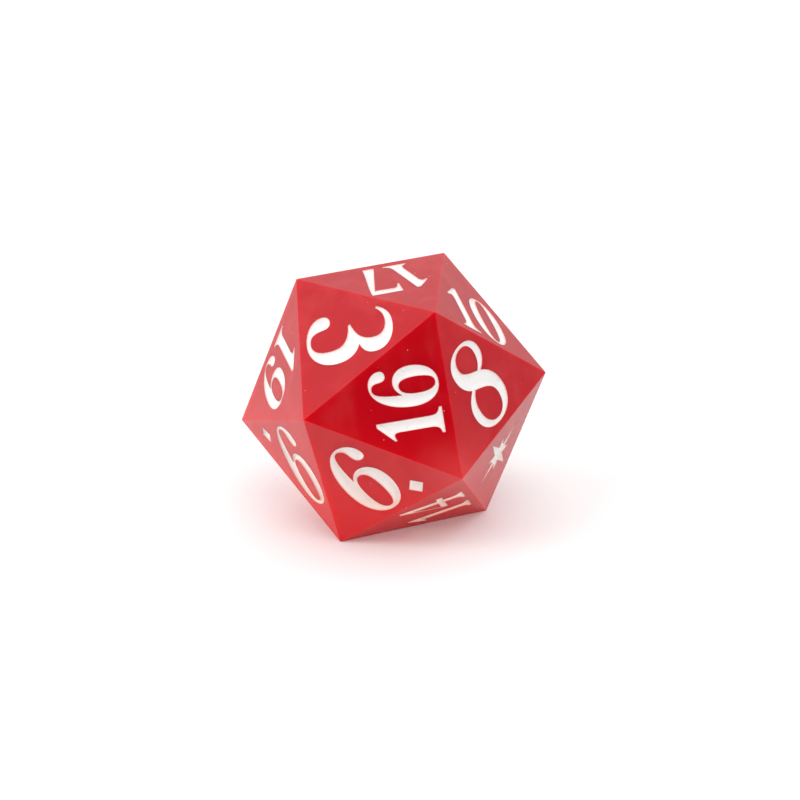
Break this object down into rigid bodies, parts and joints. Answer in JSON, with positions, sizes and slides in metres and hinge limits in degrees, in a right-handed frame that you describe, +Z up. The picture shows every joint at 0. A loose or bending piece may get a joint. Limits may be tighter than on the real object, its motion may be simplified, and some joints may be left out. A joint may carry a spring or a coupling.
{
  "type": "polyhedral die",
  "caption": "Twenty-sided die: a sharp-edged icosahedron of translucent resin with painted engraved numerals and a star on the highest face.",
  "frame": {"origin": "centre of the bottom face, the face of the 4, on the surface that the die stands on", "axes": "+Z up, out of the face of the 17; -Y towards the corner that the 16, 8, 20, 14 and 6 share; +X to the right"},
  "size_m": [0.0236, 0.0272, 0.022],
  "materials": {
    "resin": "polished translucent cast resin",
    "paint": "matte paint in the engraving"
  },
  "bodies": {
    "root": {"die_body": "resin", "paint_01": "paint", "paint_02": "paint", "paint_03": "paint", "paint_04": "paint", "paint_05": "paint", "paint_06": "paint", "paint_07": "paint", "paint_08": "paint", "paint_09": "paint", "paint_10": "paint", "paint_11": "paint", "paint_12": "paint", "paint_13": "paint", "paint_14": "paint", "paint_15": "paint", "paint_16": "paint", "paint_17": "paint", "paint_18": "paint", "paint_19": "paint", "paint_20": "paint"}
  },
  "joints": []
}
